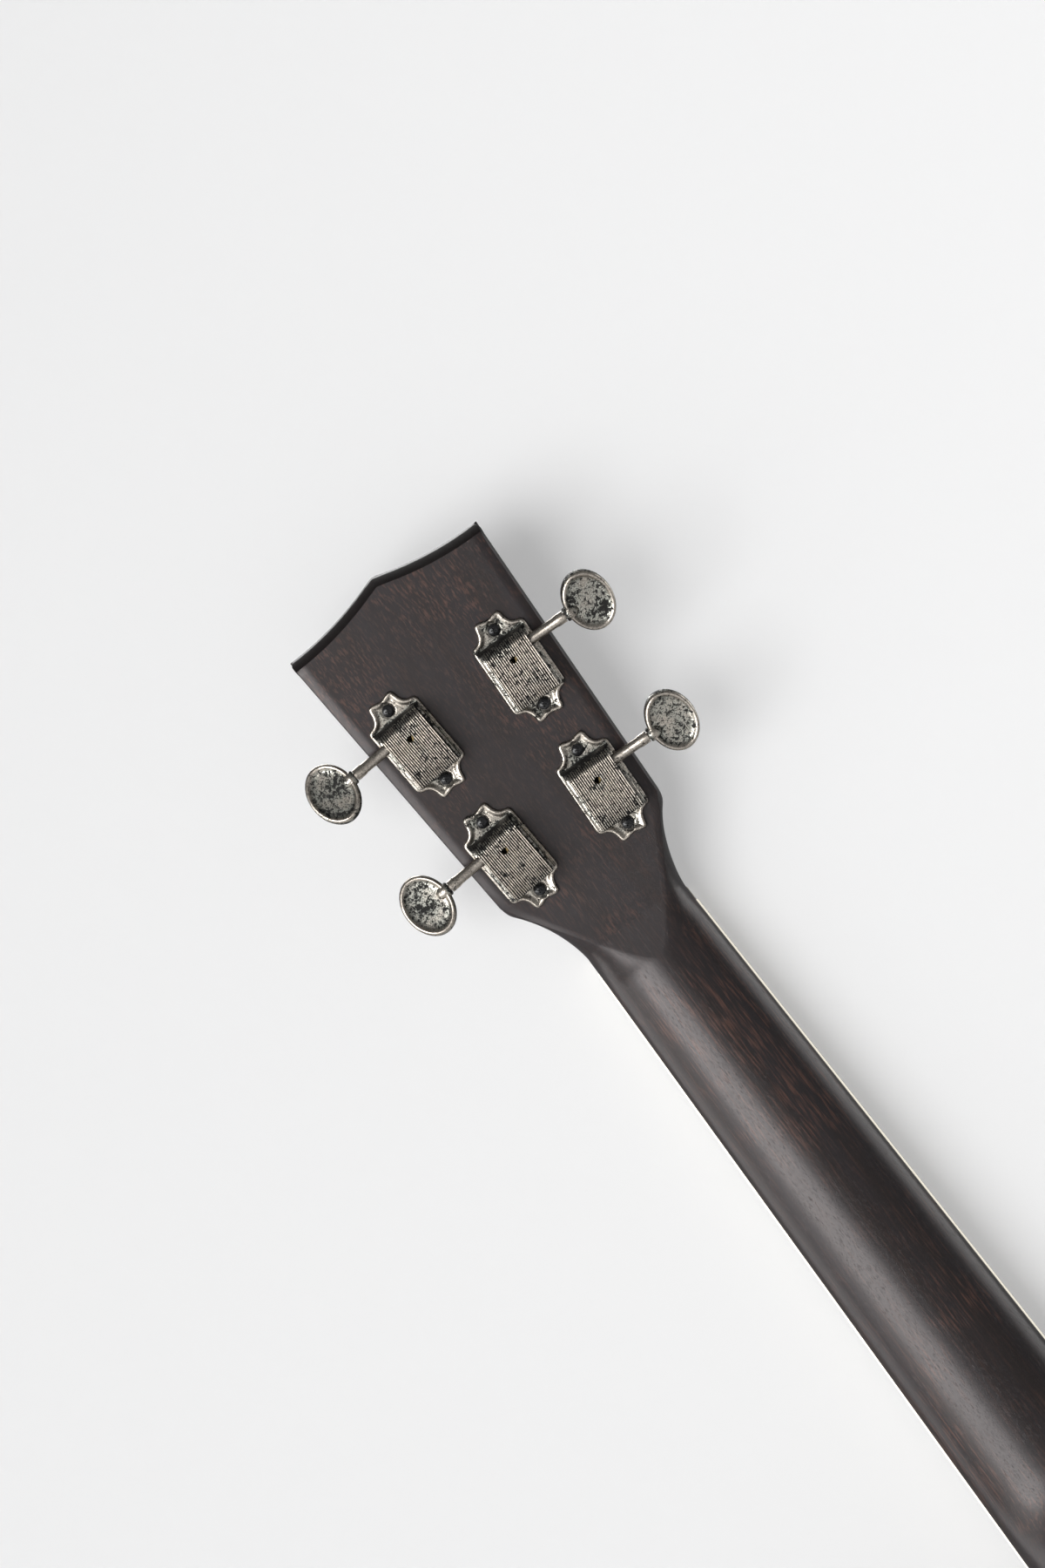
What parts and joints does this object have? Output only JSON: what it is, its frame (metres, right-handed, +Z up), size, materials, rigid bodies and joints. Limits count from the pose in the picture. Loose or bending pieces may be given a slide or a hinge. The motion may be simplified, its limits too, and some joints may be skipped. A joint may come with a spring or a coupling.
{
  "type": "tenor resonator ukulele",
  "caption": "Tenor resonator ukulele: scalloped headstock with geared tuning machines, bound neck, hollow wooden body, spun cone under a pierced coverplate",
  "frame": {"origin": "on the centreline at the nut line, in the plane where fingerboard and neck are glued; a hanger holds the neck there, just under the headstock's flare", "axes": "+Z up the neck to the headstock's tip, -Y out of the front face toward the player's strings, +Y out of the back, +X to the right seen from the front"},
  "size_m": [0.222, 0.0895, 0.683],
  "materials": {
    "dark_mahogany": "satin, near-black stain over red-brown grain",
    "ebonised_board": "oiled, nearly black",
    "cream_binding": "satin",
    "bone": "polished",
    "pale_wood": "bare",
    "maple": "bare",
    "aged_nickel": "aged nickel plate",
    "tuner_nickel": "aged nickel plate with dark spots",
    "black_steel": "black oxide",
    "worm_steel": "aged nickel plate",
    "brass": "cut, oiled",
    "spun_aluminium": "spun",
    "clear_string": "translucent"
  },
  "bodies": {
    "instrument": {"neck": "dark_mahogany", "top": "dark_mahogany", "back": "dark_mahogany", "sides": "dark_mahogany", "fingerboard": "ebonised_board", "headplate": "ebonised_board", "fingerboard_binding": "cream_binding", "nut": "bone", "neck_block": "pale_wood", "tail_block": "pale_wood", "soundwell": "pale_wood", "biscuit": "maple", "saddle": "maple", "coverplate": "aged_nickel", "handrest": "aged_nickel", "tailpiece": "aged_nickel", "strap_button": "aged_nickel", "soundhole_screen_left": "aged_nickel", "soundhole_screen_right": "aged_nickel", "tuner_plate_g": "tuner_nickel", "tuner_plate_c": "tuner_nickel", "tuner_plate_e": "tuner_nickel", "tuner_plate_a": "tuner_nickel", "tuner_cover_g": "tuner_nickel", "tuner_cover_c": "tuner_nickel", "tuner_cover_e": "tuner_nickel", "tuner_cover_a": "tuner_nickel", "post_ferrule_g": "tuner_nickel", "post_ferrule_c": "tuner_nickel", "post_ferrule_e": "tuner_nickel", "post_ferrule_a": "tuner_nickel", "plate_screw_g_upper": "black_steel", "plate_screw_g_lower": "black_steel", "plate_screw_c_upper": "black_steel", "plate_screw_c_lower": "black_steel", "plate_screw_e_upper": "black_steel", "plate_screw_e_lower": "black_steel", "plate_screw_a_upper": "black_steel", "plate_screw_a_lower": "black_steel", "resonator_cone": "spun_aluminium", "string_g": "clear_string", "string_c": "clear_string", "string_e": "clear_string", "string_a": "clear_string"},
    "button_g": {"tuner_button_g": "tuner_nickel", "worm_shaft_g": "worm_steel"},
    "button_c": {"tuner_button_c": "tuner_nickel", "worm_shaft_c": "worm_steel"},
    "button_e": {"tuner_button_e": "tuner_nickel", "worm_shaft_e": "worm_steel"},
    "button_a": {"tuner_button_a": "tuner_nickel", "worm_shaft_a": "worm_steel"},
    "post_g": {"string_post_g": "tuner_nickel", "worm_wheel_g": "brass"},
    "post_c": {"string_post_c": "tuner_nickel", "worm_wheel_c": "brass"},
    "post_e": {"string_post_e": "tuner_nickel", "worm_wheel_e": "brass"},
    "post_a": {"string_post_a": "tuner_nickel", "worm_wheel_a": "brass"}
  },
  "joints": [
    {"name": "button_turn_g", "type": "hinge", "parent": "instrument", "child": "button_g", "pos_m": [-0.01786, 0.02597, 0.04818], "axis": [-0.9987, -0.0101, -0.0496], "continuous": true},
    {"name": "post_turn_g", "type": "hinge", "parent": "instrument", "child": "post_g", "pos_m": [-0.01751, 0.01977, 0.0423], "axis": [0, 0.9799, -0.1994], "continuous": true},
    {"name": "button_turn_c", "type": "hinge", "parent": "instrument", "child": "button_c", "pos_m": [-0.01986, 0.03488, 0.09198], "axis": [-0.9987, -0.0101, -0.0496], "continuous": true},
    {"name": "post_turn_c", "type": "hinge", "parent": "instrument", "child": "post_c", "pos_m": [-0.01951, 0.02869, 0.0861], "axis": [0, 0.9799, -0.1994], "continuous": true},
    {"name": "button_turn_e", "type": "hinge", "parent": "instrument", "child": "button_e", "pos_m": [0.01986, 0.03488, 0.09198], "axis": [-0.9987, 0.0101, 0.0496], "continuous": true},
    {"name": "post_turn_e", "type": "hinge", "parent": "instrument", "child": "post_e", "pos_m": [0.01951, 0.02869, 0.0861], "axis": [0, 0.9799, -0.1994], "continuous": true},
    {"name": "button_turn_a", "type": "hinge", "parent": "instrument", "child": "button_a", "pos_m": [0.01786, 0.02597, 0.04818], "axis": [-0.9987, 0.0101, 0.0496], "continuous": true},
    {"name": "post_turn_a", "type": "hinge", "parent": "instrument", "child": "post_a", "pos_m": [0.01751, 0.01977, 0.0423], "axis": [0, 0.9799, -0.1994], "continuous": true}
  ],
  "couplings": [
    {"joint": "post_turn_g", "follows": "button_turn_g", "ratio": 0.071429},
    {"joint": "post_turn_c", "follows": "button_turn_c", "ratio": 0.071429},
    {"joint": "post_turn_e", "follows": "button_turn_e", "ratio": 0.071429},
    {"joint": "post_turn_a", "follows": "button_turn_a", "ratio": 0.071429}
  ]
}
